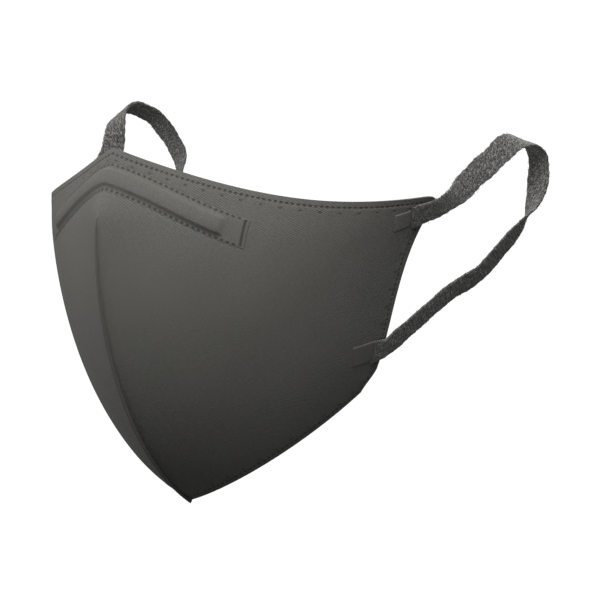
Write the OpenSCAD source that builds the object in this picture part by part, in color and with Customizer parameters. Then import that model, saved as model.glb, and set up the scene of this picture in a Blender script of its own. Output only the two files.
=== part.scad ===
// Disposable dust mask of the vertical-fold kind: two half panels joined along a curved
// front seam, a bendable nose wire in a pocket that crosses the bridge, and two flat
// knitted ear loops whose ends are welded to the rear edges.
// X runs to the wearer's left, Y toward the wearer's head and Z up, in millimetres.
// The origin lies on the fold plane, level with the mouth, midway between the rear edges.

/* [Panels] */
// Width across the two upper rear corners
panel_width = 172; // [150:1:200]
// Depth from the lower rear corners to the front of the fold
panel_depth = 84; // [70:1:95]
// Height from the chin tip to the nose tip
panel_height = 125; // [110:1:145]
// Radius of the bend over the bridge of the nose
nose_round = 9; // [4:0.5:12]

/* [Plies] */
// Thickness of the embossed outer cover
cover_t = 0.3; // [0.15:0.05:0.6]
// Thickness of the loose support layer behind the cover
support_t = 0.2; // [0.1:0.05:0.4]
// Thickness of the melt-blown filter layer
filter_t = 0.25; // [0.1:0.05:0.5]
// Thickness of the soft inner lining
lining_t = 0.25; // [0.1:0.05:0.5]

/* [Nose wire] */
// Thickness of the flat nose wire
wire_t = 0.8; // [0.5:0.1:1.2]
// Thickness of the pocket strip that covers the wire
pocket_t = 0.25; // [0.15:0.05:0.5]

/* [Centre seam] */
// Thickness of the weld flange along the front seam
flange_t = 0.9; // [0.6:0.1:1.6]
// Height of the flange at the chin
flange_low = 1.3; // [0.6:0.1:2.5]
// Height of the flange just below the nose pocket
flange_high = 0.5; // [0.3:0.1:1.5]

/* [Ear loops] */
// Width of the knitted ear band
strap_w = 8.5; // [5:0.5:11]
// Thickness of the knitted ear band
strap_t = 1; // [0.6:0.1:1.6]
// Thickness of a band end pressed flat by its weld
tab_t = 0.8; // [0.5:0.1:1.2]
// Distance from the rear edge to the line a loop swings about
hinge_off = 2.2; // [1.8:0.1:3]
// Gap between a welded end and the start of the free loop
hinge_gap = 1; // [0.9:0.05:1.4]
// How far the left band turns over at the back of its loop, in degrees
left_twist = 110; // [-120:5:120]
// How far the right band turns over, the other way
right_twist = -95; // [-120:5:120]

/* [Hidden] */

// The left half panel is one smooth patch. Each of its four edges is a cubic curve from
// corner to corner, with two handles that it bends toward.
drawn_size = [172, 84, 125];
chin_tip = [0, -38, -64];
nose_tip = [0, -81, 61];
lower_corner = [52, -2, -22];
upper_corner = [86, -6, 45];
fold_edge = [chin_tip, [0, -78, -40], [0, -92, 20], nose_tip];
rear_edge = [lower_corner, [64, -4, -6], [70, -12, 26], upper_corner];
bottom_edge = [chin_tip, [20, -42, -58], [44, -28, -42], lower_corner];
top_edge = [nose_tip, [30, -62, 50], [70, -60, 38], upper_corner];
// How far the cheek stands out from the plain patch between the edges.
fullness = [3, -4, 0];
net = [
  fold_edge,
  [bottom_edge[1], inner_point(1, 1), inner_point(1, 2), top_edge[1]],
  [bottom_edge[2], inner_point(2, 1), inner_point(2, 2), top_edge[2]],
  rear_edge
];
grow = [panel_width / drawn_size[0], panel_depth / drawn_size[1], panel_height / drawn_size[2]];

// Columns of the panel grid, as shares of the way from the fold to the rear edge.
wire_end = 0.38;
pocket_end = 0.49;
tab_start = 0.89;
wire_u = [for (i = [0:6]) wire_end * i / 6];
band_u = [(wire_end + pocket_end) / 2, pocket_end];
side_u = [for (i = [1:7]) pocket_end + (tab_start - pocket_end) * i / 8];
tab_u = [tab_start, (tab_start + 1) / 2, 1];
panel_u = concat(wire_u, band_u, side_u, tab_u);

// Rows of the panel grid, in millimetres from the bottom or the top edge, measured at the
// fold, two fifths of the way round, where the band ends begin and at the rear edge. They follow the nose
// pocket and its wire at the front and the welded band ends at the rear.
stations = [0, 0.4, 0.9, 1];
rows_from_bottom = [
  [0, 0, 0, 0],
  [6, 11, 8, 5.5],
  [12, 22, 16, 11],
  [18, 28, 20, 15.2],
  [24, 33, 24, 19.5]
];
rows_from_top = [
  [15.4, 18.6, 14.5, 10.5],
  [12.8, 16, 11.7, 7.7],
  [7.8, 11, 8.8, 4.8],
  [5.2, 8.4, 6, 2]
];
low_rows = [for (d = rows_from_bottom) [for (k = [0:3]) d[k] / height_at(stations[k], 0.1)]];
band_rows = [for (d = rows_from_top) [for (k = [0:3]) 1 - d[k] / height_at(stations[k], 0.95)]];
mid_count = 9;
mid_rows = [for (k = [1:mid_count]) low_rows[4] + (band_rows[0] - low_rows[4]) * k / (mid_count + 1)];
panel_rows = concat(low_rows, mid_rows, band_rows, [[1, 1, 1, 1]]);

upper_trim = 0.045;
lower_trim = 0.045;

cover_in = cover_t;
support_in = cover_in + support_t;
filter_in = support_in + filter_t;
lining_in = filter_in + lining_t;

// Points on the free loops, from the upper weld round the ear to the lower weld.
left_route = [
  [84, 5, 45],
  [86, 12, 51],
  [88, 19, 56],
  [90, 27, 62],
  [90, 35, 63],
  [89, 45, 60],
  [88, 49, 54],
  [87, 49, 45],
  [86, 47, 39],
  [84, 44, 33],
  [80, 38, 25],
  [75, 31, 16],
  [70, 21, 10],
  [66, 10, 2]
];
right_route = [
  [83, -2, 46],
  [84, 4, 54],
  [85, 9, 60],
  [86, 11, 65],
  [87, 13, 70],
  [88, 17, 74],
  [89, 23, 76],
  [90, 30, 75],
  [90, 38, 72],
  [90, 45, 66],
  [89, 50, 59],
  [88, 51, 52],
  [85, 46, 42],
  [81, 40, 32],
  [76, 31, 20],
  [70, 21, 10],
  [66, 10, 2]
];
// Shares along a loop, and how much of its full turn the band has made at each.
left_turn = [[0, 0], [0.1, 0.4], [0.25, 0.6], [0.36, 1], [0.5, 1.1], [0.58, 0.8], [0.66, 0], [1, 0]];
right_turn = [[0, 0], [0.15, 0], [0.33, 1], [0.63, 1], [0.83, 0], [1, 0]];

// Vector helpers.
function unit(a) = a / norm(a);
function ease(t) = let (s = min(max(t, 0), 1)) s * s * (3 - 2 * s);
function mixed(a, b, t) = a * (1 - t) + b * t;

// An inner point of the net follows from the edges, and the fullness moves it out.
function inner_point(i, j) =
  let (a = i / 3, b = j / 3)
  mixed(fold_edge[j], rear_edge[j], a) + mixed(bottom_edge[i], top_edge[i], b)
  - mixed(mixed(chin_tip, nose_tip, b), mixed(lower_corner, upper_corner, b), a) + fullness;

// The patch at column u and height share v, and its height there in millimetres.
function weights(t) = [pow(1 - t, 3), 3 * t * pow(1 - t, 2), 3 * t * t * (1 - t), pow(t, 3)];
function bare(u, v) = weights(u) * [for (c = net) weights(v) * c];
function height_at(u, v) = norm(bare(u, v + 0.01) - bare(u, v - 0.01)) / 0.02;
function fold_slope(v) = let (a = bare(0, v), b = bare(0.0667, v)) (b[1] - a[1]) / (b[0] - a[0]);
function set_back(x, v) =
  let (r = nose_round * ease((v - 0.8) / 0.14))
  fold_slope(v) * (sqrt(x * x + r * r) - x);
function sized(p) = [p[0] * grow[0], p[1] * grow[1], p[2] * grow[2]];
function skin(u, v) = let (p = bare(u, v)) sized(p + [0, set_back(p[0], v), 0]);

// Outward direction of the skin. On the fold it is kept in the fold plane and
// lengthened, so that offset halves still meet there.
function along_u(u, v) = skin(min(u + 0.003, 1), v) - skin(max(u - 0.003, 0), v);
function along_v(u, v) = skin(u, min(v + 0.004, 1)) - skin(u, max(v - 0.004, 0));
function face_out(u, v) = unit(cross(along_u(u, v), along_v(u, v)));
function mitred(d) = [0, d[1], d[2]] / (d[1] * d[1] + d[2] * d[2]);
function outward(u, v) = u == 0 ? mitred(face_out(u, v)) : face_out(u, v);

// The height share of a row at column u, on the smooth curve through its four stations.
function pull(u, k) =
  let (s = stations, o = [for (j = [0:3]) if (j != k) j])
  (u - s[o[0]]) * (u - s[o[1]]) * (u - s[o[2]])
  / ((s[k] - s[o[0]]) * (s[k] - s[o[1]]) * (s[k] - s[o[2]]));
function row_v(row, u) = row * [for (k = [0:3]) pull(u, k)];

// The rear corners are rounded off: a small arc above, a long sweep below.
function arc(t) = 1 - sqrt(1 - pow(min(max(t, 0), 1), 2));
function trim(v) = upper_trim * arc((v - 0.94) / 0.06) + lower_trim * ease((0.11 - v) / 0.11);

// A point at a depth below the outer face. A negative u is on the right half.
function flipped(p) = [-p[0], p[1], p[2]];
function left_at(u, row, depth) =
  let (v = row_v(row, u), w = u * (1 - trim(v)))
  skin(w, v) - outward(w, v) * depth;
function at(u, row, depth) = u < 0 ? flipped(left_at(-u, row, depth)) : left_at(u, row, depth);
function ply(us, rows, depth) = [for (u = us) [for (row = rows) at(u, row, depth)]];

// A closed shell between two matching grids of points, the first one facing outward.
// The first few columns may be cut along the other diagonal, as a mirrored ply is.
module shell(outer, inner, mirrored_columns = 0) {
  nu = len(outer);
  nv = len(outer[0]);
  n = nu * nv;
  points = concat([for (c = outer) each c], [for (c = inner) each c]);
  cells = [for (i = [0:nu - 2]) for (j = [0:nv - 2]) i * nv + j];
  out_faces = [
    for (a = cells)
      each a < mirrored_columns * nv
        ? [[a, a + 1, a + nv], [a + nv, a + 1, a + nv + 1]]
        : [[a, a + nv + 1, a + nv], [a, a + 1, a + nv + 1]]
  ];
  in_faces = [for (f = out_faces) [f[0] + n, f[2] + n, f[1] + n]];
  first = [for (j = [0:nv - 2]) each [[j, j + n + 1, j + 1], [j, j + n, j + n + 1]]];
  z = (nu - 1) * nv;
  last = [for (j = [z:z + nv - 2]) each [[j, j + 1, j + n + 1], [j, j + n + 1, j + n]]];
  low = [for (i = [0:nu - 2]) let (a = i * nv) each [[a, a + nv, a + nv + n], [a, a + nv + n, a + n]]];
  high = [
    for (i = [0:nu - 2])
      let (a = i * nv + nv - 1)
        each [[a, a + nv + n, a + nv], [a, a + n, a + nv + n]]
  ];
  polyhedron(points, concat(out_faces, in_faces, first, last, low, high), convexity = 6);
}

module half_ply(from, to) {
  shell(ply(panel_u, panel_rows, from), ply(panel_u, panel_rows, to));
}

module outer_cover_left() {
  color([0.33, 0.325, 0.305])
    half_ply(0, cover_in);
}

module outer_cover_right() {
  color([0.33, 0.325, 0.305])
    mirror([1, 0, 0])
      half_ply(0, cover_in);
}

module support_layer_left() {
  color([0.85, 0.85, 0.84])
    half_ply(cover_in, support_in);
}

module support_layer_right() {
  color([0.85, 0.85, 0.84])
    mirror([1, 0, 0])
      half_ply(cover_in, support_in);
}

module filter_layer_left() {
  color([0.93, 0.93, 0.92])
    half_ply(support_in, filter_in);
}

module filter_layer_right() {
  color([0.93, 0.93, 0.92])
    mirror([1, 0, 0])
      half_ply(support_in, filter_in);
}

module inner_lining_left() {
  color([0.42, 0.415, 0.395])
    half_ply(filter_in, lining_in);
}

module inner_lining_right() {
  color([0.42, 0.415, 0.395])
    mirror([1, 0, 0])
      half_ply(filter_in, lining_in);
}

// The wire and its pocket cross the fold, so their columns run from right to left.
function both_ways(us) = concat([for (i = [len(us) - 1:-1:1]) -us[i]], us);

module nose_wire() {
  us = both_ways(wire_u);
  rows = [band_rows[1], band_rows[2]];
  color([0.78, 0.79, 0.8])
    shell(ply(us, rows, -wire_t), ply(us, rows, 0), len(wire_u) - 1);
}

// The pocket lies on the cover at its rim and rises over the wire.
function rise(u, k) = (k == 0 || k == 3 || abs(u) >= band_u[0]) ? 0 : wire_t;

module nose_wire_pocket() {
  us = both_ways(concat(wire_u, band_u));
  over = [for (u = us) [for (k = [0:3]) at(u, band_rows[k], -rise(u, k) - pocket_t)]];
  under = [for (u = us) [for (k = [0:3]) at(u, band_rows[k], -rise(u, k))]];
  color([0.33, 0.325, 0.305])
    shell(over, under, len(wire_u) + len(band_u) - 1);
}

// One cross-section of the seam: its foot straddles the fold, and its crest stands out.
function seam_section(row, high) =
  let (v = row_v(row, 0))
  let (a = skin(0, v))
  let (b = at(panel_u[1], row, 0))
  let (foot = a + (b - a) * (flange_t / 2 / b[0]))
  let (crest = foot + unit(outward(0, v)) * high)
  [a, foot, crest, flipped(crest), flipped(foot)];

module centre_seam() {
  rows = [for (k = [0:len(panel_rows) - 8]) panel_rows[k]];
  n = len(rows);
  sections = [for (k = [0:n - 1]) seam_section(rows[k], mixed(flange_low, flange_high, k / (n - 1)))];
  color([0.27, 0.265, 0.25])
    tube(sections);
}

// A closed tube through matching cross-sections.
module tube(sections) {
  n = len(sections);
  m = len(sections[0]);
  sides = [
    for (k = [0:n - 2])
      for (i = [0:m - 1])
        let (a = k * m + i, b = k * m + (i + 1) % m)
          each [[a, b, b + m], [a, b + m, a + m]]
  ];
  first = [for (i = [1:m - 2]) [0, i + 1, i]];
  z = (n - 1) * m;
  last = [for (i = [1:m - 2]) [z, z + i, z + i + 1]];
  polyhedron([for (s = sections) each s], concat(sides, first, last), convexity = 10);
}

// Where the free loops begin: a line just behind the rear edge, through both ear bands.
upper_row = (band_rows[0] + band_rows[3]) / 2;
lower_row = (low_rows[2] + low_rows[4]) / 2;
function backward(row) = unit(along_u(1, row_v(row, 1)));
function loop_root(row) = at(1, row, -tab_t / 2) + backward(row) * hinge_off;
upper_root = loop_root(upper_row);
lower_root = loop_root(lower_row);
swing_axis = unit(upper_root - lower_root);

// A band end: welded flat on the cover, then free as far as the gap before the loop.
function square_to_axis(d) = unit(d - swing_axis * (d * swing_axis));
module strap_end(rows, root, row) {
  back = square_to_axis(backward(row));
  out = cross(back, swing_axis);
  n = len(rows);
  ends = [for (k = [0:n - 1]) root - back * hinge_gap + swing_axis * (strap_w * (k / (n - 1) - 0.5))];
  over = concat(ply(tab_u, rows, -tab_t), [[for (e = ends) e + out * tab_t / 2]]);
  under = concat(ply(tab_u, rows, 0), [[for (e = ends) e - out * tab_t / 2]]);
  shell(over, under);
}

module upper_strap_end_left() {
  color([0.36, 0.355, 0.34])
    strap_end(band_rows, upper_root, upper_row);
}

module upper_strap_end_right() {
  color([0.36, 0.355, 0.34])
    mirror([1, 0, 0])
      strap_end(band_rows, upper_root, upper_row);
}

module lower_strap_end_left() {
  color([0.36, 0.355, 0.34])
    strap_end([low_rows[2], low_rows[3], low_rows[4]], lower_root, lower_row);
}

module lower_strap_end_right() {
  color([0.36, 0.355, 0.34])
    mirror([1, 0, 0])
      strap_end([low_rows[2], low_rows[3], low_rows[4]], lower_root, lower_row);
}

// A smooth curve through the route, four steps to each of its spans.
steps = 4;
function spline(a, b, c, d, t) =
  (b * 2 + (c - a) * t + (a * 2 - b * 5 + c * 4 - d) * (t * t) + (b * 3 - a - c * 3 + d) * (t * t * t)) / 2;
function smooth_path(p) =
  let (n = len(p))
  let (q = concat([p[0] * 2 - p[1]], p, [p[n - 1] * 2 - p[n - 2]]))
  concat(
    [for (k = [0:n - 2]) for (s = [0:steps - 1]) spline(q[k], q[k + 1], q[k + 2], q[k + 3], s / steps)],
    [p[n - 1]]
  );

// The band lies in the plane of the loop at both ends and turns over at the back.
function band_across(t, side, s, angle) =
  let (turned = unit(cross(t, side)) * cos(angle) + side * sin(angle))
  let (free = unit(turned - t * (turned * t)))
  let (root = s < 0.5 ? -swing_axis : swing_axis)
  unit(mixed(free, root, 1 - ease(min(s, 1 - s) / 0.1)));

// An eight-sided band section, thinner at the two ends of the loop.
function band_section(c, w, n, thick) =
  let (a = w * (strap_w / 2), b = w * (strap_w / 2 - 0.25), h = n * (thick / 2), g = n * (thick / 5))
  [c + b + h, c + a + g, c + a - g, c + b - h, c - b - h, c - a - g, c - a + g, c - b + h];

module band_loop(route, twist, turn_at) {
  path = smooth_path(concat([upper_root], [for (p = route) sized(p)], [lower_root]));
  n = len(path);
  middle = path[floor(n / 2)];
  side = unit(cross(middle - lower_root, swing_axis));
  sections = [
    for (k = [0:n - 1])
      let (s = k / (n - 1))
      let (t = unit(path[min(k + 1, n - 1)] - path[max(k - 1, 0)]))
      let (w = band_across(t, side, s, twist * lookup(s, turn_at)))
      band_section(path[k], w, unit(cross(w, t)), (k == 0 || k == n - 1) ? strap_t * 0.5 : strap_t)
  ];
  tube(sections);
}

module ear_loop_left() {
  color([0.45, 0.445, 0.43])
    band_loop(left_route, left_twist, left_turn);
}

module ear_loop_right() {
  color([0.45, 0.445, 0.43])
    mirror([1, 0, 0])
      band_loop(right_route, right_twist, right_turn);
}

outer_cover_left();
outer_cover_right();
support_layer_left();
support_layer_right();
filter_layer_left();
filter_layer_right();
inner_lining_left();
inner_lining_right();
nose_wire();
nose_wire_pocket();
centre_seam();
upper_strap_end_left();
upper_strap_end_right();
lower_strap_end_left();
lower_strap_end_right();
ear_loop_left();
ear_loop_right();
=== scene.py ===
import math

import bpy
import numpy as np
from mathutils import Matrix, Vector
from mathutils.kdtree import KDTree


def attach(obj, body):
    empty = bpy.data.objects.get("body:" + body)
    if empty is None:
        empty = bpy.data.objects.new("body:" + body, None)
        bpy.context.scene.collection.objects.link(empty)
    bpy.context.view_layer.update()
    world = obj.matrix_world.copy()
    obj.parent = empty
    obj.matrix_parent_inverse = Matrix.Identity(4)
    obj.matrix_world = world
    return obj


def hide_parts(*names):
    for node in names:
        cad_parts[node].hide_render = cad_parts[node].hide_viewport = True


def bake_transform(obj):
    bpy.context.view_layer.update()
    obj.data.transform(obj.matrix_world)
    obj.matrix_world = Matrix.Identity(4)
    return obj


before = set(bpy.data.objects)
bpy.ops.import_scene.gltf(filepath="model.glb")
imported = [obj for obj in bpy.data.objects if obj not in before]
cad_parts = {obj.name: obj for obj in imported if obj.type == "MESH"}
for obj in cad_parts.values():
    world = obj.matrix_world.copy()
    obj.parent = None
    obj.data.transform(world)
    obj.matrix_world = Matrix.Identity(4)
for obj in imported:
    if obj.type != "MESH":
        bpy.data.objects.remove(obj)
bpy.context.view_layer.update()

MM = 0.001

# ---------------------------------------------------------------- the panel's skin, in mm
# The left half panel is one smooth patch. Each of its four edges is a cubic curve from
# corner to corner, with two handles that it bends toward.
CHIN_TIP = [0, -38, -64]
NOSE_TIP = [0, -81, 61]
LOWER_CORNER = [52, -2, -22]
UPPER_CORNER = [86, -6, 45]
FOLD_EDGE = np.array([CHIN_TIP, [0, -78, -40], [0, -92, 20], NOSE_TIP], float)
REAR_EDGE = np.array([LOWER_CORNER, [64, -4, -6], [70, -12, 26], UPPER_CORNER], float)
BOTTOM_EDGE = np.array([CHIN_TIP, [20, -42, -58], [44, -28, -42], LOWER_CORNER], float)
TOP_EDGE = np.array([NOSE_TIP, [30, -62, 50], [70, -60, 38], UPPER_CORNER], float)
FULLNESS = np.array([3, -4, 0])
NOSE_ROUND = 9.0
SLOPE_U = 0.0667
UPPER_TRIM = 0.045
LOWER_TRIM = 0.045

# Rows that the nose pocket and the welded band ends follow, in mm from the top or the
# bottom edge: at the fold, two fifths of the way round, where the band ends begin and at
# the rear edge.
STATIONS = np.array([0, 0.4, 0.9, 1])
POCKET_LOW, POCKET_HIGH = [15.4, 18.6, 14.5, 10.5], [5.2, 8.4, 6, 2]
LOWER_END_LOW, LOWER_END_HIGH = [12, 22, 16, 11], [24, 33, 24, 19.5]
# Columns where each welded end begins, along its lower and its upper side.
UPPER_END_U = (0.925, 0.9)
LOWER_END_U = (0.88, 0.87)
WELD_END_U = 0.955

# Depths of the plies below the outer face, in the middle of a panel.
COVER_IN = 0.3
SUPPORT_IN = 0.5
FILTER_IN = 0.75
LINING_IN = 1.0
# The same depths where the edge weld presses the plies together.
COVER_PRESSED = 0.28
SUPPORT_PRESSED = 0.34
FILTER_PRESSED = 0.4
LINING_PRESSED = 0.62

# Edge welds: a close row of dots and a sparse row behind it.
DOT_ROW = 2.2
DOT_PITCH = 1.9
SPARSE_ROW = 4.1
SPARSE_PITCH = 6.5
POCKET_U = 0.506
DOT_LONG = 0.62
DOT_HIGH = 0.45

# Ear bands, in mm, as the solids that carry them are laid.
BAND_WIDTH = 8.5
BAND_THICK = 1.0
TAB_THICK = 0.8
HINGE_OFF = 2.2
BAND_STEP = 0.28
LINE_REACH = 9
ACROSS_REACH = 14
ROOT_SHARE = 0.08
WELD_TUCK = 0.006
WELD_OVERLAP = 0.004
BACK_FACE_SHIFT = 13.7
LEFT_TWIST = 110
RIGHT_TWIST = -95
# Shares along each loop, and how much of its full turn the band has made at each.
LEFT_TURN = [
    (0, 0),
    (0.1, 0.35),
    (0.25, 0.55),
    (0.36, 0.95),
    (0.5, 0.85),
    (0.58, 0.6),
    (0.66, 0.1),
    (0.72, 0),
    (1, 0),
]
RIGHT_TURN = [(0, 0), (0.15, 0), (0.33, 1), (0.63, 1), (0.83, 0), (1, 0)]
LEFT_ROUTE = [
    [84, 5, 45],
    [86, 12, 51],
    [88, 19, 56],
    [90, 27, 62],
    [90, 35, 63],
    [89, 45, 60],
    [88, 49, 54],
    [87, 49, 45],
    [86, 47, 39],
    [84, 44, 33],
    [80, 38, 25],
    [75, 31, 16],
    [70, 21, 10],
    [66, 10, 2],
]
RIGHT_ROUTE = [
    [83, -2, 46],
    [84, 4, 54],
    [85, 9, 60],
    [86, 11, 65],
    [87, 13, 70],
    [88, 17, 74],
    [89, 23, 76],
    [90, 30, 75],
    [90, 38, 72],
    [90, 45, 66],
    [89, 50, 59],
    [88, 51, 52],
    [85, 46, 42],
    [81, 40, 32],
    [76, 31, 20],
    [70, 21, 10],
    [66, 10, 2],
]


def ease(t):
    s = np.clip(t, 0, 1)
    return s * s * (3 - 2 * s)


def unit(a):
    return a / np.linalg.norm(a, axis=-1, keepdims=True)


def bernstein(n, t):
    return np.stack([math.comb(n, k) * t**k * (1 - t) ** (n - k) for k in range(n + 1)], -1)


def patch_net():
    """The points of the four edges, and the four inner points that follow from them."""
    a = (np.arange(4) / 3)[:, None, None]
    b = (np.arange(4) / 3)[None, :, None]
    across = FOLD_EDGE[None] * (1 - a) + REAR_EDGE[None] * a
    upward = BOTTOM_EDGE[:, None] * (1 - b) + TOP_EDGE[:, None] * b
    at_fold = FOLD_EDGE[0] * (1 - b) + FOLD_EDGE[3] * b
    at_rear = REAR_EDGE[0] * (1 - b) + REAR_EDGE[3] * b
    net = across + upward - at_fold * (1 - a) - at_rear * a
    net[1:3, 1:3] += FULLNESS
    return net


NET = patch_net()


def bare(u, v):
    u, v = np.broadcast_arrays(np.asarray(u, float), np.asarray(v, float))
    return np.einsum("...i,...j,ijk->...k", bernstein(3, u), bernstein(3, v), NET)


def height_at(u, v):
    """The panel's height at column u in mm, as it is near the height share v."""
    return np.linalg.norm(bare(u, v + 0.01) - bare(u, v - 0.01), axis=-1) / 0.02


def from_top(distances):
    return 1 - np.array(distances) / height_at(STATIONS, 0.95)


def from_bottom(distances):
    return np.array(distances) / height_at(STATIONS, 0.1)


NOSE_BAND_ROWS = np.array([from_top(POCKET_LOW), from_top(POCKET_HIGH)])
LOWER_END_ROWS = np.array([from_bottom(LOWER_END_LOW), from_bottom(LOWER_END_HIGH)])


def skin(u, v):
    """The half panel's outer face, with the fold rounded over the bridge of the nose."""
    p = bare(u, v)
    a, b = bare(0.0, v), bare(SLOPE_U, v)
    slope = (b[..., 1] - a[..., 1]) / (b[..., 0] - a[..., 0])
    r = NOSE_ROUND * ease((v - 0.8) / 0.14)
    x = p[..., 0]
    p[..., 1] += slope * (np.sqrt(x * x + r * r) - x)
    return p


def along_u(u, v):
    return skin(np.minimum(u + 0.003, 1), v) - skin(np.maximum(u - 0.003, 0), v)


def along_v(u, v):
    return skin(u, np.minimum(v + 0.004, 1)) - skin(u, np.maximum(v - 0.004, 0))


def outward(u, v):
    """The skin's outward direction, kept in the fold plane on the fold itself."""
    n = unit(np.cross(along_u(u, v), along_v(u, v)))
    flat = n * [0, 1, 1]
    mitred = flat / np.sum(flat * flat, -1, keepdims=True)
    return np.where(np.asarray(u)[..., None] == 0, mitred, n)


def trim(v):
    """How much the rear corners are rounded off, as a share of the panel's width."""
    arc = 1 - np.sqrt(1 - np.clip((v - 0.94) / 0.06, 0, 1) ** 2)
    return UPPER_TRIM * arc + LOWER_TRIM * ease((0.11 - v) / 0.11)


def row_v(row, u):
    """Height share of a row at column u, on the smooth curve through its four stations."""
    row, u = np.asarray(row, float), np.asarray(u, float)
    total = 0
    for k, here in enumerate(STATIONS):
        others = np.delete(STATIONS, k)
        pull = np.prod([(u - other) / (here - other) for other in others], axis=0)
        total = total + row[..., k] * pull
    return total


def place(u, v, height):
    """Points at a height above the outer face. A negative u is on the right half."""
    u, v, height = np.broadcast_arrays(np.asarray(u, float), v, height)
    w = np.abs(u) * (1 - trim(v))
    base, out = skin(w, v), outward(w, v)
    p = base + out * height[..., None]
    side = unit(along_u(w, v))
    least = 0.05 * base[..., 0]
    slide = np.maximum(least - p[..., 0], 0) / np.maximum(side[..., 0], 0.2)
    p = p + side * slide[..., None]
    p[..., 0] *= np.where(u < 0, -1, 1)
    return p


def run_length(points, axis):
    """Distance along a grid of points in one direction, starting at 0."""
    steps = np.linalg.norm(np.diff(points, axis=axis), axis=-1)
    start = np.zeros_like(np.take(steps, [0], axis=axis))
    return np.concatenate([start, np.cumsum(steps, axis=axis)], axis=axis)


# ---------------------------------------------------------------- meshes
def grid_quads(nu, nv, first=0, closed=False):
    """Quads over a grid of nu by nv points. A closed grid joins its last row to its first."""
    i = np.arange(nu - 1)[:, None]
    j = np.arange(nv if closed else nv - 1)[None, :]
    a, b = i * nv + j, i * nv + (j + 1) % nv
    return first + np.stack([a, a + nv, b + nv, b], -1).reshape(-1, 4)


def make_mesh(name, points, faces, values, material, sharp=40):
    """A smooth mesh from points in mm, faces of one size and values kept on its points."""
    mesh = bpy.data.meshes.new(name)
    corners = faces.shape[1]
    mesh.vertices.add(len(points))
    mesh.vertices.foreach_set("co", (points * MM).astype(np.float32).ravel())
    mesh.loops.add(faces.size)
    mesh.loops.foreach_set("vertex_index", faces.astype(np.int32).ravel())
    mesh.polygons.add(len(faces))
    mesh.polygons.foreach_set("loop_start", np.arange(0, faces.size, corners, dtype=np.int32))
    mesh.update(calc_edges=True)
    mesh.polygons.foreach_set("use_smooth", np.ones(len(faces), bool))
    for key, value in values.items():
        if value.ndim == 1:
            layer = mesh.attributes.new(key, "FLOAT", "POINT")
            layer.data.foreach_set("value", value.astype(np.float32))
        else:
            padded = np.concatenate([value, np.zeros((len(value), 3 - value.shape[1]))], 1)
            layer = mesh.attributes.new(key, "FLOAT_VECTOR", "POINT")
            layer.data.foreach_set("vector", padded.astype(np.float32).ravel())
    mesh.set_sharp_from_angle(angle=math.radians(sharp))
    mesh.validate()
    mesh.materials.append(material)
    obj = bpy.data.objects.new(name, mesh)
    bpy.context.scene.collection.objects.link(obj)
    return obj


def shell(name, outer, inner, values, material, mirrored=False):
    """A closed sheet between two matching grids of points, the first one facing outward."""
    nu, nv = outer.shape[:2]
    n = nu * nv
    points = np.concatenate([outer.reshape(-1, 3), inner.reshape(-1, 3)])
    top = grid_quads(nu, nv)
    under = top[:, ::-1] + n
    index = np.arange(n).reshape(nu, nv)
    ring = np.concatenate([index[:-1, 0], index[-1, :-1], index[:0:-1, -1], index[0, :0:-1]])
    after = np.roll(ring, -1)
    rim = np.stack([ring, ring + n, after + n, after], -1)
    faces = np.concatenate([top, under, rim])
    if mirrored:
        points = points * [-1, 1, 1]
        faces = faces[:, ::-1]
    both = {k: np.concatenate([v.reshape(n, -1)] * 2).squeeze() for k, v in values.items()}
    return make_mesh(name, points, faces, both, material)


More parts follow.
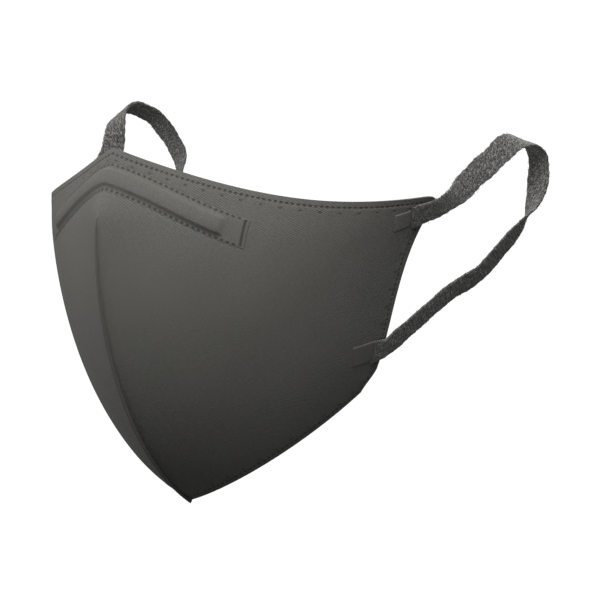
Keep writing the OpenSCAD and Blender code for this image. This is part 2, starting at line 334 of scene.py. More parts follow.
# ---------------------------------------------------------------- materials
class Look:
    """A small helper that writes one material's node tree."""

    def __init__(self, name, roughness, specular=0.3, sheen=0.0):
        self.material = bpy.data.materials.new(name)
        self.material.use_nodes = True
        self.tree = self.material.node_tree
        self.shader = self.tree.nodes["Principled BSDF"]
        self.shader.inputs["Roughness"].default_value = roughness
        self.shader.inputs["Specular IOR Level"].default_value = specular
        self.shader.inputs["Sheen Weight"].default_value = sheen
        self.shader.inputs["Sheen Roughness"].default_value = 0.6

    def join(self, socket, value):
        if isinstance(value, bpy.types.NodeSocket):
            self.tree.links.new(value, socket)
        elif value is not None:
            socket.default_value = value

    def math(self, operation, a, b=None, c=None):
        node = self.tree.nodes.new("ShaderNodeMath")
        node.operation = operation
        for socket, value in zip(node.inputs, (a, b, c)):
            self.join(socket, value)
        return node.outputs[0]

    def total(self, *parts):
        result = parts[0]
        for part in parts[1:]:
            result = self.math("ADD", result, part)
        return result

    def times(self, a, b):
        return self.math("MULTIPLY", a, b)

    def step(self, value, low, high):
        """0 below low and 1 above high, or the other way round where low is above high."""
        node = self.tree.nodes.new("ShaderNodeMapRange")
        node.interpolation_type = "SMOOTHSTEP"
        flip = low > high
        self.join(node.inputs["Value"], value)
        node.inputs["From Min"].default_value = min(low, high)
        node.inputs["From Max"].default_value = max(low, high)
        node.inputs["To Min"].default_value = 1.0 if flip else 0.0
        node.inputs["To Max"].default_value = 0.0 if flip else 1.0
        return node.outputs[0]

    def stored(self, name, kind="Vector"):
        node = self.tree.nodes.new("ShaderNodeAttribute")
        node.attribute_name = name
        return node.outputs[kind]

    def split(self, vector):
        node = self.tree.nodes.new("ShaderNodeSeparateXYZ")
        self.join(node.inputs[0], vector)
        return node.outputs[0], node.outputs[1]

    def point(self, x, y):
        node = self.tree.nodes.new("ShaderNodeCombineXYZ")
        self.join(node.inputs[0], x)
        self.join(node.inputs[1], y)
        return node.outputs[0]

    def noise(self, x, y, scale, detail=2.0):
        node = self.tree.nodes.new("ShaderNodeTexNoise")
        node.noise_dimensions = "2D"
        self.join(node.inputs["Vector"], self.point(x, y))
        node.inputs["Scale"].default_value = scale
        node.inputs["Detail"].default_value = detail
        return node.outputs[0]

    def mix(self, share, a, b):
        node = self.tree.nodes.new("ShaderNodeMix")
        node.data_type = "RGBA"
        self.join(node.inputs[0], share)
        self.join(node.inputs[6], (*a, 1) if isinstance(a, tuple) else a)
        self.join(node.inputs[7], (*b, 1) if isinstance(b, tuple) else b)
        return node.outputs[2]

    def finish(self, colour, height, depth_mm, rough=None):
        bump = self.tree.nodes.new("ShaderNodeBump")
        bump.inputs["Strength"].default_value = 1.0
        bump.inputs["Distance"].default_value = depth_mm * MM
        self.join(bump.inputs["Height"], height)
        self.tree.links.new(bump.outputs[0], self.shader.inputs["Normal"])
        self.join(self.shader.inputs["Base Color"], colour)
        if rough is not None:
            self.join(self.shader.inputs["Roughness"], rough)
        return self.material


def dots(look, distance, run, row, pitch):
    """A row of weld dots at one distance from the edge."""
    phase = look.math("SUBTRACT", look.math("FRACT", look.math("DIVIDE", run, pitch)), 0.5)
    x = look.math("DIVIDE", look.times(phase, pitch), DOT_LONG)
    y = look.math("DIVIDE", look.math("SUBTRACT", distance, row), DOT_HIGH)
    r = look.math("SQRT", look.total(look.times(x, x), look.times(y, y)))
    return look.step(r, 1.15, 0.7)


def nonwoven(name, pale, dark, pitch=0.8, emboss=1.0, dot_strength=0.8):
    """Spunbond cloth: fine fibres, a diamond emboss with painted shade in its grooves, and darker,
    smoother welds.
    """
    look = Look(name, 0.75, specular=0.25, sheen=0.06)
    x, y = look.split(look.stored("cloth"))
    turn = math.pi / pitch
    one = look.math("ABSOLUTE", look.math("SINE", look.times(look.total(x, y), turn)))
    two = look.math("ABSOLUTE", look.math("SINE", look.times(look.math("SUBTRACT", x, y), turn)))
    diamond = look.math("MINIMUM", one, two)
    long_fibres = look.noise(look.times(x, 0.35), look.times(y, 2.2), 2.4, 4.0)
    cross_fibres = look.noise(look.times(look.total(x, y), 1.7), look.times(y, 0.4), 1.9, 4.0)
    fibres = look.times(look.total(long_fibres, cross_fibres), 0.5)
    patches = look.noise(x, y, 0.045, 2.0)
    rim, run = look.split(look.stored("rim"))
    weld = look.math(
        "MAXIMUM",
        dots(look, rim, run, DOT_ROW, DOT_PITCH),
        look.times(dots(look, rim, run, SPARSE_ROW, SPARSE_PITCH), 0.7),
    )
    weld = look.math("MAXIMUM", look.times(weld, dot_strength), look.stored("weld_and_shade", "Fac"))
    # The fibres and patches are the cloth's own random tone. The diamond term is painted shade that
    # darkens the emboss grooves.
    shade = look.total(
        look.times(look.step(fibres, 0.3, 0.7), 0.4),
        look.times(diamond, 0.7 * emboss),
        look.times(patches, 0.15),
    )
    cloth = look.mix(shade, tuple(0.3 * c for c in pale), pale)
    colour = look.mix(weld, cloth, dark)
    height = look.total(
        look.times(diamond, emboss),
        look.times(fibres, 0.8),
        look.times(weld, -1.6),
    )
    rough = look.math("SUBTRACT", 0.8, look.times(weld, 0.2))
    return look.finish(colour, height, 0.13, rough)


def knitted(name, pale, mid, dark):
    """Heathered knit: slanted pale flecks on dark yarn, in rows of stitches, with painted shade where
    the knit lies low.
    """
    look = Look(name, 0.9, specular=0.15, sheen=0.25)
    x, y = look.split(look.stored("cloth"))
    slant = look.total(x, look.times(y, 0.55))
    counter = look.math("SUBTRACT", x, look.times(y, 0.6))
    one = look.step(look.noise(look.times(slant, 1.6), look.times(y, 0.5), 1.3, 3.0), 0.54, 0.64)
    two = look.step(look.noise(look.times(counter, 1.5), look.times(y, 0.55), 1.6, 3.0), 0.56, 0.66)
    flecks = look.math("MAXIMUM", one, look.times(two, 0.6))
    depths = look.step(look.noise(look.times(slant, 1.2), look.times(y, 0.7), 1.8, 3.0), 0.4, 0.58)
    fine = look.noise(look.times(slant, 3.0), y, 4.0, 3.0)
    # Partly the yarn's own heathered tone, partly painted shade: the yarn is darkest where the depths
    # noise makes the knit low.
    yarn = look.mix(depths, dark, mid)
    colour = look.mix(look.times(flecks, look.step(fine, 0.25, 0.7)), yarn, pale)
    height = look.total(look.times(flecks, 0.6), look.times(depths, 0.5), look.times(fine, 0.6))
    return look.finish(colour, height, 0.14)


def pressed_band(name, pale, dark):
    """A band end melted flat: a diagonal knurl with painted shade in its grooves, and painted shade at
    its inboard end and sides.
    """
    look = Look(name, 0.6, specular=0.3)
    x, y = look.split(look.stored("cloth"))
    one = look.math("ABSOLUTE", look.math("SINE", look.times(look.total(x, y), 3.3)))
    two = look.math("ABSOLUTE", look.math("SINE", look.times(look.math("SUBTRACT", x, y), 3.3)))
    knurl = look.math("MINIMUM", one, two)
    fibres = look.noise(look.times(x, 2.0), y, 2.0, 4.0)
    # Painted shade: the knurl's grooves get the darker colour.
    shade = look.total(look.times(knurl, 0.6), look.times(fibres, 0.5))
    cloth = look.mix(shade, dark, pale)
    # Painted shade: the stored attribute darkens the inboard end (a painted shadow line) and the sides.
    colour = look.mix(look.stored("weld_and_shade", "Fac"), cloth, dark)
    return look.finish(colour, look.total(knurl, look.times(fibres, 0.5)), 0.06)


def seam_look(name, pale, dark):
    """The welded fold: short cross grooves along a pressed bead, with painted shade in the grooves."""
    look = Look(name, 0.6, specular=0.3)
    x, y = look.split(look.stored("cloth"))
    hatch = look.math("ABSOLUTE", look.math("SINE", look.times(y, math.pi / 0.9)))
    fibres = look.noise(look.times(x, 2.0), look.times(y, 2.0), 2.0, 4.0)
    # Painted shade: the cross grooves get the darker colour.
    colour = look.mix(look.total(look.times(hatch, 0.6), look.times(fibres, 0.4)), dark, pale)
    return look.finish(colour, look.total(hatch, fibres), 0.05)


def web(name, pale, dark):
    """A loose inner web: fibres only."""
    look = Look(name, 0.9, specular=0.2, sheen=0.1)
    x, y = look.split(look.stored("cloth"))
    fibres = look.noise(look.times(x, 0.5), look.times(y, 2.0), 2.5, 4.0)
    return look.finish(look.mix(fibres, dark, pale), fibres, 0.05)


def brushed_wire(name):
    """Drawn flat aluminium, with fine marks along it."""
    look = Look(name, 0.38, specular=0.5)
    look.shader.inputs["Metallic"].default_value = 1.0
    node = look.tree.nodes.new("ShaderNodeTexCoord")
    split = look.tree.nodes.new("ShaderNodeSeparateXYZ")
    look.tree.links.new(node.outputs["Object"], split.inputs[0])
    marks = look.noise(look.times(split.outputs[0], 60), look.times(split.outputs[2], 4000), 1.0, 3.0)
    return look.finish(look.mix(marks, (0.6, 0.61, 0.62), (0.8, 0.81, 0.82)), marks, 0.01)


OUTER = nonwoven("outer_fabric", (0.118, 0.116, 0.104), (0.028, 0.027, 0.023))
INNER = nonwoven("lining_fabric", (0.19, 0.186, 0.172), (0.09, 0.087, 0.08), 1.3, 0.7, 0.7)
SUPPORT = web("support_web", (0.78, 0.78, 0.76), (0.66, 0.66, 0.64))
FILTER = web("filter_web", (0.9, 0.9, 0.88), (0.8, 0.8, 0.78))
SEAM = seam_look("seam_weld", (0.085, 0.083, 0.074), (0.03, 0.029, 0.025))
PRESSED = pressed_band("strap_weld", (0.13, 0.128, 0.116), (0.05, 0.049, 0.043))
KNIT = knitted("ear_band", (0.32, 0.315, 0.29), (0.058, 0.056, 0.05), (0.012, 0.012, 0.011))
WIRE = brushed_wire("wire")

# ---------------------------------------------------------------- camera
# It stands in front and to the wearer's left, a little above the mask.
AZIMUTH = math.radians(43)
ELEVATION = math.radians(5)
DISTANCE = 0.747
AIM = Vector((0, -0.04, 0))
ASIDE = 0.0533
ABOVE = 0.0094
SENSOR = 36
LENS = 127.3


def add_camera():
    back = Vector((
        math.sin(AZIMUTH) * math.cos(ELEVATION),
        -math.cos(AZIMUTH) * math.cos(ELEVATION),
        math.sin(ELEVATION),
    ))
    right = Vector((math.cos(AZIMUTH), math.sin(AZIMUTH), 0))
    up = back.cross(right)
    data = bpy.data.cameras.new("camera")
    data.sensor_width = SENSOR
    data.lens = LENS
    data.clip_start = 0.05
    camera = bpy.data.objects.new("camera", data)
    camera.location = AIM + back * DISTANCE
    look = -back + right * ASIDE + up * ABOVE
    camera.rotation_mode = "QUATERNION"
    camera.rotation_quaternion = look.to_track_quat("-Z", "Y")
    bpy.context.scene.collection.objects.link(camera)
    bpy.context.scene.camera = camera


add_camera()


# ---------------------------------------------------------------- ear bands
def spline(p, steps):
    """A Catmull-Rom curve through p, with each point's share of the way by spans."""
    q = np.concatenate([[2 * p[0] - p[1]], p, [2 * p[-1] - p[-2]]])
    t = np.linspace(0, 1, steps, endpoint=False)[:, None]
    spans = [
        (2 * b + (c - a) * t + (2 * a - 5 * b + 4 * c - d) * t**2 + (3 * b - a - 3 * c + d) * t**3) / 2
        for a, b, c, d in zip(q, q[1:], q[2:], q[3:])
    ]
    line = np.concatenate(spans + [p[-1:]])
    return line, np.linspace(0, 1, len(line))


def end_v(rows):
    return rows[:, 3].mean()


def backward(rows):
    return unit(along_u(1.0, end_v(rows)))


def root(rows):
    return place(1.0, end_v(rows), TAB_THICK / 2) + backward(rows) * HINGE_OFF


UPPER_ROOT = root(NOSE_BAND_ROWS)
LOWER_ROOT = root(LOWER_END_ROWS)
SWING_AXIS = unit(UPPER_ROOT - LOWER_ROOT)


def on_panel(rows, us):
    """The band's line where it lies on a panel, and the way across it, toward the chin."""
    v = row_v(rows.mean(0), us)
    line = place(us, v, BAND_THICK / 2)
    across = unit(np.cross(along_u(us, v), outward(us, v)))
    return line, across


def smoothed(values, reach):
    """A running mean over reach points each way, with the ends held."""
    padded = np.concatenate([values[:1]] * reach + [values] + [values[-1:]] * reach)
    kernel = np.ones(2 * reach + 1) / (2 * reach + 1)
    return np.stack([np.convolve(padded[:, k], kernel, "valid") for k in range(values.shape[1])], -1)


def turn(s, twist, at):
    """How far the band has turned over at share s of its loop, in degrees."""
    shares, amounts = zip(*at)
    return twist * np.interp(s, shares, amounts)


def band_line(route, twist, turn_at):
    """Evenly spaced points along a whole ear band, and the direction across it."""
    points = np.array([UPPER_ROOT, *route, LOWER_ROOT], float)
    line, s = spline(points, 24)
    middle = line[len(line) // 2]
    side = unit(np.cross(middle - LOWER_ROOT, SWING_AXIS))
    tangent = unit(np.gradient(line, axis=0))
    angle = np.radians(turn(s, twist, turn_at))[:, None]
    turned = unit(np.cross(tangent, side)) * np.cos(angle) + side * np.sin(angle)
    free = unit(turned - tangent * np.sum(turned * tangent, -1, keepdims=True))
    held = np.where(s[:, None] < 0.5, -SWING_AXIS, SWING_AXIS)
    share = ease(np.minimum(s, 1 - s) / ROOT_SHARE)[:, None]
    across = unit(free * share + held * (1 - share))
    us = np.linspace(WELD_END_U - WELD_TUCK, 1, 9)
    upper_line, upper_across = on_panel(NOSE_BAND_ROWS, us)
    lower_line, lower_across = on_panel(LOWER_END_ROWS, us[::-1])
    line = np.concatenate([upper_line, line, lower_line])
    across = np.concatenate([upper_across, across, -lower_across])
    run = np.concatenate([[0], np.cumsum(np.linalg.norm(np.diff(line, axis=0), axis=1))])
    even = np.linspace(0, run[-1], int(run[-1] / BAND_STEP))
    line = np.stack([np.interp(even, run, line[:, k]) for k in range(3)], -1)
    across = np.stack([np.interp(even, run, across[:, k]) for k in range(3)], -1)
    line = smoothed(line, LINE_REACH)
    tangent = unit(np.gradient(line, axis=0))
    across = smoothed(across, ACROSS_REACH)
    across = unit(across - tangent * np.sum(across * tangent, -1, keepdims=True))
    return line, tangent, across, even


def stitches(x, y):
    """Relief of the knit, in mm: rows of small slanted stitches and a slight roll."""
    wale = BAND_WIDTH / 8
    local = np.abs((x / wale) % 1 - 0.5) * 2
    rows = np.cos(2 * np.pi * (y / 1.35 + 0.45 * local))
    return 0.07 * rows * (1 - local**4) + 0.05 * np.sin(y * 0.9 + 2 * np.sin(x * 0.8))


def ear_band(side, route, twist, turn_at, sign):
    """One flat knitted loop, from weld to weld, with its short loose fibres."""
    line, tangent, across, run = band_line(route, twist, turn_at)
    face = np.cross(across, tangent)
    half, thick = BAND_WIDTH / 2, BAND_THICK / 2
    turn = np.linspace(0, 2 * np.pi, 68, endpoint=False)
    flat = np.sign(np.cos(turn)) * np.abs(np.cos(turn)) ** 0.55
    proud = np.sign(np.sin(turn)) * np.abs(np.sin(turn)) ** 0.35
    ends = ease(np.minimum(run, run[-1] - run) / 2.0)
    x = flat * half
    waver = 0.16 * np.sin(run * 0.55) + 0.1 * np.sin(run * 1.9 + 1)
    wide = x[None, :] + np.sign(x)[None, :] * waver[:, None] * np.abs(flat)[None, :] ** 4
    relief = stitches(wide + 0.4 * np.sign(proud), run[:, None])
    high = proud[None, :] * (thick * (0.45 + 0.55 * ends[:, None]) + relief * ends[:, None])
    points = line[:, None] + across[:, None] * wide[..., None] + face[:, None] * high[..., None]
    rings, m = points.shape[:2]
    points = points.reshape(-1, 3) * [sign, 1, 1]
    along = np.broadcast_to(run[:, None], wide.shape)
    cloth = np.stack([wide + BACK_FACE_SHIFT * (proud > 0), along], -1).reshape(-1, 2)
    quads = grid_quads(rings, m, closed=True)
    caps = []
    for start in (0, (rings - 1) * m):
        low, high_index = np.arange(m // 2 - 1), m - 1 - np.arange(m // 2 - 1)
        quad = np.stack([low, low + 1, (high_index - 1) % m, high_index], -1) + start
        caps.append(quad if start else quad[:, ::-1])
    faces = np.concatenate([quads, *caps])
    if sign > 0:
        faces = faces[:, ::-1]
    band = make_mesh("ear_band_" + side, points, faces, {"cloth": cloth}, KNIT, sharp=180)
    fuzz = loose_fibres(side, line, across, face, run, sign)
    back = unit(backward(NOSE_BAND_ROWS) + backward(LOWER_END_ROWS))
    back = unit(back - SWING_AXIS * (back @ SWING_AXIS))
    for piece in (band, fuzz):
        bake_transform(piece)
    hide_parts("ear_loop_" + side)
    return band


def loose_fibres(side, line, across, face, run, sign, count=620):
    """Short fine fibres that stand off the band, each a closed three-sided spindle."""
    rng = np.random.default_rng(11 if sign > 0 else 12)
    place_on = rng.integers(24, len(line) - 24, count)
    edge = rng.random(count) < 0.6
    flat = np.where(edge, np.sign(rng.random(count) - 0.5), rng.uniform(-0.9, 0.9, count))
    proud = np.where(edge, rng.uniform(-0.5, 0.5, count), np.sign(rng.random(count) - 0.5))
    a, f = across[place_on], face[place_on]
    t = np.gradient(line, axis=0)[place_on]
    beside = a * (flat * BAND_WIDTH * 0.49)[:, None]
    foot = line[place_on] + beside + f * (proud * BAND_THICK * 0.42)[:, None]
    away = unit(a * flat[:, None] * edge[:, None] + f * proud[:, None] * 0.6)
    lean = unit(t) * rng.uniform(-1.6, 1.6, count)[:, None]
    way = unit(away + lean + rng.normal(0, 0.25, (count, 3)))
    curl = np.cross(way, rng.normal(0, 1, (count, 3))) * 0.25
    long = rng.uniform(0.5, 1.25, count)[:, None]
    across_fibre = unit(np.cross(way, rng.normal(0, 1, (count, 3))))
    other = np.cross(way, across_fibre)
    rings = []
    for share, thick in ((0, 0.045), (0.5, 0.04), (1, 0.018)):
        centre = foot + way * long * share + curl * long * share**2
        for k in range(3):
            angle = 2 * math.pi * k / 3
            rings.append(centre + (across_fibre * math.cos(angle) + other * math.sin(angle)) * thick)
    points = np.stack(rings, 1).reshape(-1, 3) * [sign, 1, 1]
    one = []
    for r in (0, 3):
        for k in range(3):
            a0, b0 = r + k, r + (k + 1) % 3
            one += [[a0, b0, b0 + 3], [a0, b0 + 3, a0 + 3]]
    one += [[0, 2, 1], [6, 7, 8]]
    faces = (np.arange(count)[:, None, None] * 9 + np.array(one)[None]).reshape(-1, 3)
    if sign < 0:
        faces = faces[:, ::-1]
    cloth = np.repeat(np.stack([flat * 4, run[place_on]], -1), 9, axis=0)
    return make_mesh("ear_band_fibres_" + side, points, faces, {"cloth": cloth}, KNIT, sharp=180)


ear_band("left", LEFT_ROUTE, LEFT_TWIST, LEFT_TURN, 1)
ear_band("right", RIGHT_ROUTE, RIGHT_TWIST, RIGHT_TURN, -1)


# ---------------------------------------------------------------- plies of the panels
def spaced(stops):
    """Points along 0 to 1 that change spacing at each stop: (end of the stretch, steps)."""
    parts, low = [np.zeros(1)], 0.0
    for end, steps in stops:
        parts.append(np.linspace(low, end, steps + 1)[1:])
        low = end
    return np.concatenate(parts)


def rim_fields(points):
    """Distance from the panel's cut edge and the length along that edge, in mm."""
    t = np.linspace(0, 1, 1500)
    edge = np.concatenate([place(t, 1.0, 0.0), place(1.0, 1 - t[1:], 0.0), place(1 - t[1:], 0.0, 0.0)])
    run = run_length(edge, 0)
    tree = KDTree(len(edge))
    for k, p in enumerate(edge):
        tree.insert(p, k)
    tree.balance()
    found = [tree.find(p)[1:] for p in points.reshape(-1, 3)]
    index = np.array([f[0] for f in found]).reshape(points.shape[:-1])
    distance = np.array([f[1] for f in found]).reshape(points.shape[:-1])
    return distance, run[index]


def dot_relief(distance, run, row, pitch):
    x = ((run / pitch) % 1 - 0.5) * pitch / DOT_LONG
    y = (distance - row) / DOT_HIGH
    return ease(1.7 - 1.2 * np.hypot(x, y))


class Panel:
    """A grid over the left half panel, with what every ply on it shares."""

    def __init__(self, us, vs):
        self.u, self.v = np.meshgrid(us, vs, indexing="ij")
        self.face = place(self.u, self.v, 0.0)
        self.rim, self.run = rim_fields(self.face)
        self.cloth = np.stack([run_length(self.face, 0), run_length(self.face, 1)], -1)
        self.pressed = ease((3.2 - self.rim) / 1.6)

    def depth(self, full, pressed):
        """A ply's depth below the outer face, less where the edge weld presses it."""
        return full * (1 - self.pressed) + pressed * self.pressed

    def values(self, weld_and_shade=None):
        weld_and_shade = np.zeros_like(self.rim) if weld_and_shade is None else weld_and_shade
        return {"cloth": self.cloth, "rim": np.stack([self.rim, self.run], -1), "weld_and_shade": weld_and_shade}


def welds(panel):
    close = dot_relief(panel.rim, panel.run, DOT_ROW, DOT_PITCH)
    sparse = dot_relief(panel.rim, panel.run, SPARSE_ROW, SPARSE_PITCH)
    return np.maximum(close, 0.6 * sparse)


def puckers(panel):
    """Slight hollows and swells where the welds draw the cloth in."""
    s, t = panel.cloth[..., 0], panel.cloth[..., 1]
    slow = 0.1 * np.sin(s / 11 + 1.2 * np.sin(t / 19)) * np.sin(t / 13 + 0.8 * np.sin(s / 15))
    near = np.exp(-(((panel.rim - 3.2) / 1.6) ** 2))
    return slow * ease((panel.rim - 3) / 12) + 0.05 * near * np.sin(2 * np.pi * panel.run / SPARSE_PITCH)


FINE = Panel(spaced([(0.95, 238), (1.0, 22)]), spaced([(0.08, 22), (0.92, 134), (0.98, 18), (1.0, 14)]))
COARSE = Panel(spaced([(0.95, 130), (1.0, 14)]), spaced([(0.08, 14), (0.92, 84), (0.98, 10), (1.0, 10)]))


def under_pocket(panel):
    """1 on the part of the cover that the nose pocket is welded down on."""
    low, high = (row_v(row, panel.u) for row in NOSE_BAND_ROWS)
    share = (panel.v - low) / (high - low)
    return ease(share / 0.06) * ease((1 - share) / 0.06) * ease((POCKET_U - panel.u) / 0.01)


def cover_ply():
    """The embossed outer cover: pressed margins, weld dots and slight puckers."""
    p = FINE
    top = puckers(p) - 0.16 * welds(p) - 0.05 * p.pressed - 0.14 * under_pocket(p)
    at_rim = ease((0.5 - p.rim) / 0.4)
    return p, top, -p.depth(COVER_IN, COVER_PRESSED) * (1 - at_rim) - 0.4 * at_rim


def lining_ply():
    """The soft inner lining, with the same welds seen from behind."""
    p = COARSE
    top = -p.depth(FILTER_IN, FILTER_PRESSED)
    under = -p.depth(LINING_IN, LINING_PRESSED) + 0.08 * welds(p) + 0.5 * puckers(p)
    return p, top, under


def inner_ply(outer, inner, pressed_outer, pressed_inner):
    """A hidden web, cut a little short of the weld."""
    us, vs = np.linspace(0, 0.993, 60), np.linspace(0.006, 0.994, 64)
    p = Panel(us, vs)
    return p, -p.depth(outer, pressed_outer) - 0.02, -p.depth(inner, pressed_inner) + 0.02


SUPPORT_PLY = inner_ply(COVER_IN, SUPPORT_IN, COVER_PRESSED, SUPPORT_PRESSED)
FILTER_PLY = inner_ply(SUPPORT_IN, FILTER_IN, SUPPORT_PRESSED, FILTER_PRESSED)
PLIES = (
    ("cover_cloth", "outer_cover", "outer_fabric", OUTER, cover_ply()),
    ("support_ply", "support_layer", "support_web", SUPPORT, SUPPORT_PLY),
    ("filter_ply", "filter_layer", "filter_web", FILTER, FILTER_PLY),
    ("lining_cloth", "inner_lining", "lining_fabric", INNER, lining_ply()),
)


def add_plies():
    for name, node, slot, material, (panel, top, under) in PLIES:
        outer, inner = place(panel.u, panel.v, top), place(panel.u, panel.v, under)
        for side in ("left", "right"):
            piece = shell(
                f"{name}_{side}", outer, inner, panel.values(), material, mirrored=side == "right"
            )
            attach(piece, "mask_body")
            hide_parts(f"{node}_{side}")


add_plies()

# ---------------------------------------------------------------- nose wire and its pocket
POCKET_DOTS = 4.4
POCKET_DOT_PITCH = 2.1
BAR_PLACES = (51.6, 53.6)
RIDGE_END = 45.5
RIDGE_HALF = 3.9
STRIP_HALF = 5.25
BAR_HALF = 4.7


def add_nose_pocket():
    """The strip over the wire: a soft ridge between two rows of dots, closed by double bars."""
    us = np.linspace(-POCKET_U, POCKET_U, 361)
    shares = np.linspace(-0.07, 1.07, 49)
    low, high = NOSE_BAND_ROWS
    u = np.repeat(us[:, None], len(shares), 1)
    rows = low + (high - low) * shares[None, :, None]
    v = row_v(rows, np.abs(u))
    flat = place(u, v, 0.0)
    middle = flat[:, len(shares) // 2]
    s = run_length(middle, 0)
    s = (s - s[len(us) // 2])[:, None] + 0 * u
    width = np.linalg.norm(flat[:, -1] - flat[:, 0], axis=-1)[:, None] / 1.14
    a = (shares[None, :] - 0.5) * width
    edge = np.abs(a)
    margin = ease((STRIP_HALF - edge) / 0.7) * ease((s.max() - np.abs(s)) / 1.2)
    ridge = ease((RIDGE_HALF - edge) / 1.7) * ease((RIDGE_END - np.abs(s)) / 2.5)
    crown = 0.6 * np.clip(1 - (a / 3.2) ** 2, 0, 1)
    dot_run = np.abs(s) * DOT_PITCH / POCKET_DOT_PITCH
    rim = edge - POCKET_DOTS + DOT_ROW + 99 * (np.abs(s) > BAR_PLACES[0] - 1.2)
    dotted = dot_relief(rim, dot_run, DOT_ROW, DOT_PITCH)
    bars = sum(ease((0.62 - np.abs(np.abs(s) - c)) / 0.35) for c in BAR_PLACES)
    bars = bars * ease((BAR_HALF - edge) / 0.4)
    height = -0.1 + 0.34 * margin + ridge * (0.96 + crown) - 0.2 * dotted - 0.24 * bars
    values = {
        "cloth": np.stack([np.abs(s), a + 130], -1),
        "rim": np.stack([rim, dot_run], -1),
        "weld_and_shade": bars * 0.85,
    }
    strip = shell("nose_pocket_cloth", place(u, v, height), place(u, v, height - 0.2), values, OUTER)
    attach(strip, "mask_body")
    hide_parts("nose_wire_pocket")
    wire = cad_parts["nose_wire"]
    wire.data.materials.clear()
    wire.data.materials.append(WIRE)


add_nose_pocket()


# ---------------------------------------------------------------- centre seam
def add_centre_seam():
    """The welded flange along the front fold, lowest under the nose and highest at the chin."""
    vs = np.linspace(0.0, 0.82, 440)
    base = place(0.0, vs, 0.0)
    out = unit(outward(np.zeros_like(vs), vs))
    run = run_length(base, 0)
    high = 1.3 + (0.35 - 1.3) * vs / 0.82
    high = high * (0.25 + 0.75 * ease((0.82 - vs) / 0.03))
    groove = np.abs(np.sin(np.pi * run / 0.9))
    turn = np.linspace(0, 2 * np.pi, 14, endpoint=False)
    x = 0.45 * np.sign(np.sin(turn)) * np.abs(np.sin(turn)) ** 0.8
    reach = np.cos(turn)
    side = x[None, :] * (0.82 + 0.18 * groove[:, None])
    lift = reach[None, :] * (high / 2 + 0.3)[:, None] + (high / 2 - 0.3)[:, None]
    lift = lift + 0.06 * groove[:, None] * (reach[None, :] > 0.5)
    points = base[:, None] + out[:, None] * lift[..., None]
    points[..., 0] += side
    cloth = np.stack([side + lift, np.broadcast_to(run[:, None], side.shape)], -1).reshape(-1, 2)
    rings, m = points.shape[:2]
    quads = grid_quads(rings, m, closed=True)
    caps = []
    for start in (0, (rings - 1) * m):
        low = np.arange(m // 2 - 1)
        quad = np.stack([low, low + 1, m - 2 - low, m - 1 - low], -1) + start
        caps.append(quad if start else quad[:, ::-1])
    faces = np.concatenate([quads, *caps])
    seam = make_mesh("seam_weld_bead", points.reshape(-1, 3), faces, {"cloth": cloth}, SEAM, sharp=60)
    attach(seam, "mask_body")
    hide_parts("centre_seam")


add_centre_seam()


# ---------------------------------------------------------------- welded band ends
def add_band_end(level, rows, begins, side):
    """The flattened, knurled end of a band where it is welded to the panel, with a painted shadow line
    at its inboard end.
    """
    shares = np.linspace(0, 1, 48)
    begin = begins[0] + (begins[1] - begins[0]) * shares[None, :]
    u = begin + (WELD_END_U + WELD_OVERLAP - begin) * np.linspace(0, 1, 40)[:, None]
    v = row_v(rows[0] + (rows[1] - rows[0]) * shares[None, :, None], u)
    flat = place(u, v, 0.0)
    x, y = run_length(flat, 0), run_length(flat, 1)
    inboard = x
    edge = np.minimum(y, y.max(axis=1, keepdims=True) - y)
    near = np.minimum(inboard, edge)
    knurl = np.minimum(np.abs(np.sin((x + y) * 3.3)), np.abs(np.sin((x - y) * 3.3)))
    height = -0.1 + 0.32 * ease(near / 0.9) + 0.12 * knurl * ease(near / 0.8)
    height = height + 0.3 * ease((x - x.max() + 1.2) / 1.2)
    # Painted shade: the inboard end is darkened to stand in for the shadow at the step there, and the
    # sides are made a little darker.
    weld_and_shade = 0.6 * ease((0.6 - inboard) / 0.4) + 0.25 * ease((0.4 - edge) / 0.3)
    values = {"cloth": np.stack([x, y], -1), "weld_and_shade": np.clip(weld_and_shade, 0, 1)}
    piece = shell(
        f"{level}_band_weld_{side}", place(u, v, height), place(u, v, -0.15), values, PRESSED,
        mirrored=side == "right",
    )
    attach(piece, "mask_body")
    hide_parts(f"{level}_strap_end_{side}")


for side in ("left", "right"):
    add_band_end("upper", NOSE_BAND_ROWS, UPPER_END_U, side)
    add_band_end("lower", LOWER_END_ROWS, LOWER_END_U, side)


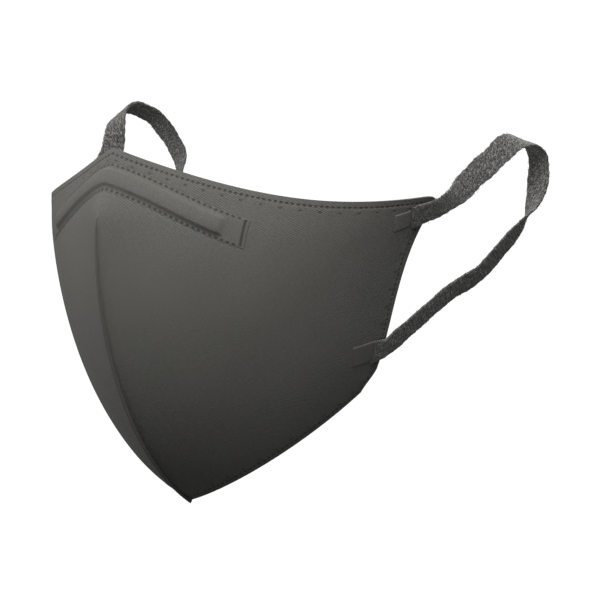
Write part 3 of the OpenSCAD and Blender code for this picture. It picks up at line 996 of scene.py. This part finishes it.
# ---------------------------------------------------------------- room and light
def add_floor():
    """A wide pale floor well below the mask, which hangs in the air as on a head."""
    size, drop = 6.0, 0.35
    mesh = bpy.data.meshes.new("floor")
    corners = [(-size, -size, -drop), (size, -size, -drop), (size, size, -drop), (-size, size, -drop)]
    mesh.from_pydata(corners, [], [(0, 1, 2, 3)])
    material = bpy.data.materials.new("floor")
    material.use_nodes = True
    shader = material.node_tree.nodes["Principled BSDF"]
    shader.inputs["Base Color"].default_value = (0.9, 0.9, 0.9, 1)
    shader.inputs["Roughness"].default_value = 1.0
    shader.inputs["Emission Color"].default_value = (1, 1, 1, 1)
    shader.inputs["Emission Strength"].default_value = 0.9
    mesh.materials.append(material)
    floor = bpy.data.objects.new("floor", mesh)
    bpy.context.scene.collection.objects.link(floor)
    floor.visible_diffuse = False
    floor.visible_glossy = False


def add_world(light_strength):
    """White all round for the camera, and softer white for what it lights."""
    world = bpy.data.worlds.new("studio")
    bpy.context.scene.world = world
    world.use_nodes = True
    tree = world.node_tree
    seen = tree.nodes["Background"]
    seen.inputs["Color"].default_value = (1, 1, 1, 1)
    seen.inputs["Strength"].default_value = 1.05
    lit = tree.nodes.new("ShaderNodeBackground")
    lit.inputs["Color"].default_value = (1, 1, 1, 1)
    lit.inputs["Strength"].default_value = light_strength
    path = tree.nodes.new("ShaderNodeLightPath")
    mix = tree.nodes.new("ShaderNodeMixShader")
    tree.links.new(path.outputs["Is Camera Ray"], mix.inputs[0])
    tree.links.new(lit.outputs[0], mix.inputs[1])
    tree.links.new(seen.outputs[0], mix.inputs[2])
    tree.links.new(mix.outputs[0], tree.nodes["World Output"].inputs[0])


def add_light(name, place_at, size, power):
    """A square soft light that points at the mask."""
    data = bpy.data.lights.new(name, "AREA")
    data.size = size
    data.energy = power
    light = bpy.data.objects.new(name, data)
    light.location = Vector(place_at)
    light.rotation_mode = "QUATERNION"
    light.rotation_quaternion = (AIM - light.location).to_track_quat("-Z", "Y")
    light.visible_camera = False
    bpy.context.scene.collection.objects.link(light)


# Each light's name, place and side length in metres, and its power in watts.
LIGHTS = (
    ("key", (-0.24, -0.28, 0.16), 0.2, 1.15),
    ("side", (0.21, -0.2, 0.26), 0.2, 1.75),
    ("behind", (0.1, 0.45, 0.3), 0.4, 2.0),
)
WORLD_LIGHT = 0.18


def add_room():
    """Soft lights at the wearer's right, at the left and above, and behind the mask."""
    add_floor()
    add_world(WORLD_LIGHT)
    for light in LIGHTS:
        add_light(*light)
    bpy.context.scene.view_settings.view_transform = "Standard"


add_room()
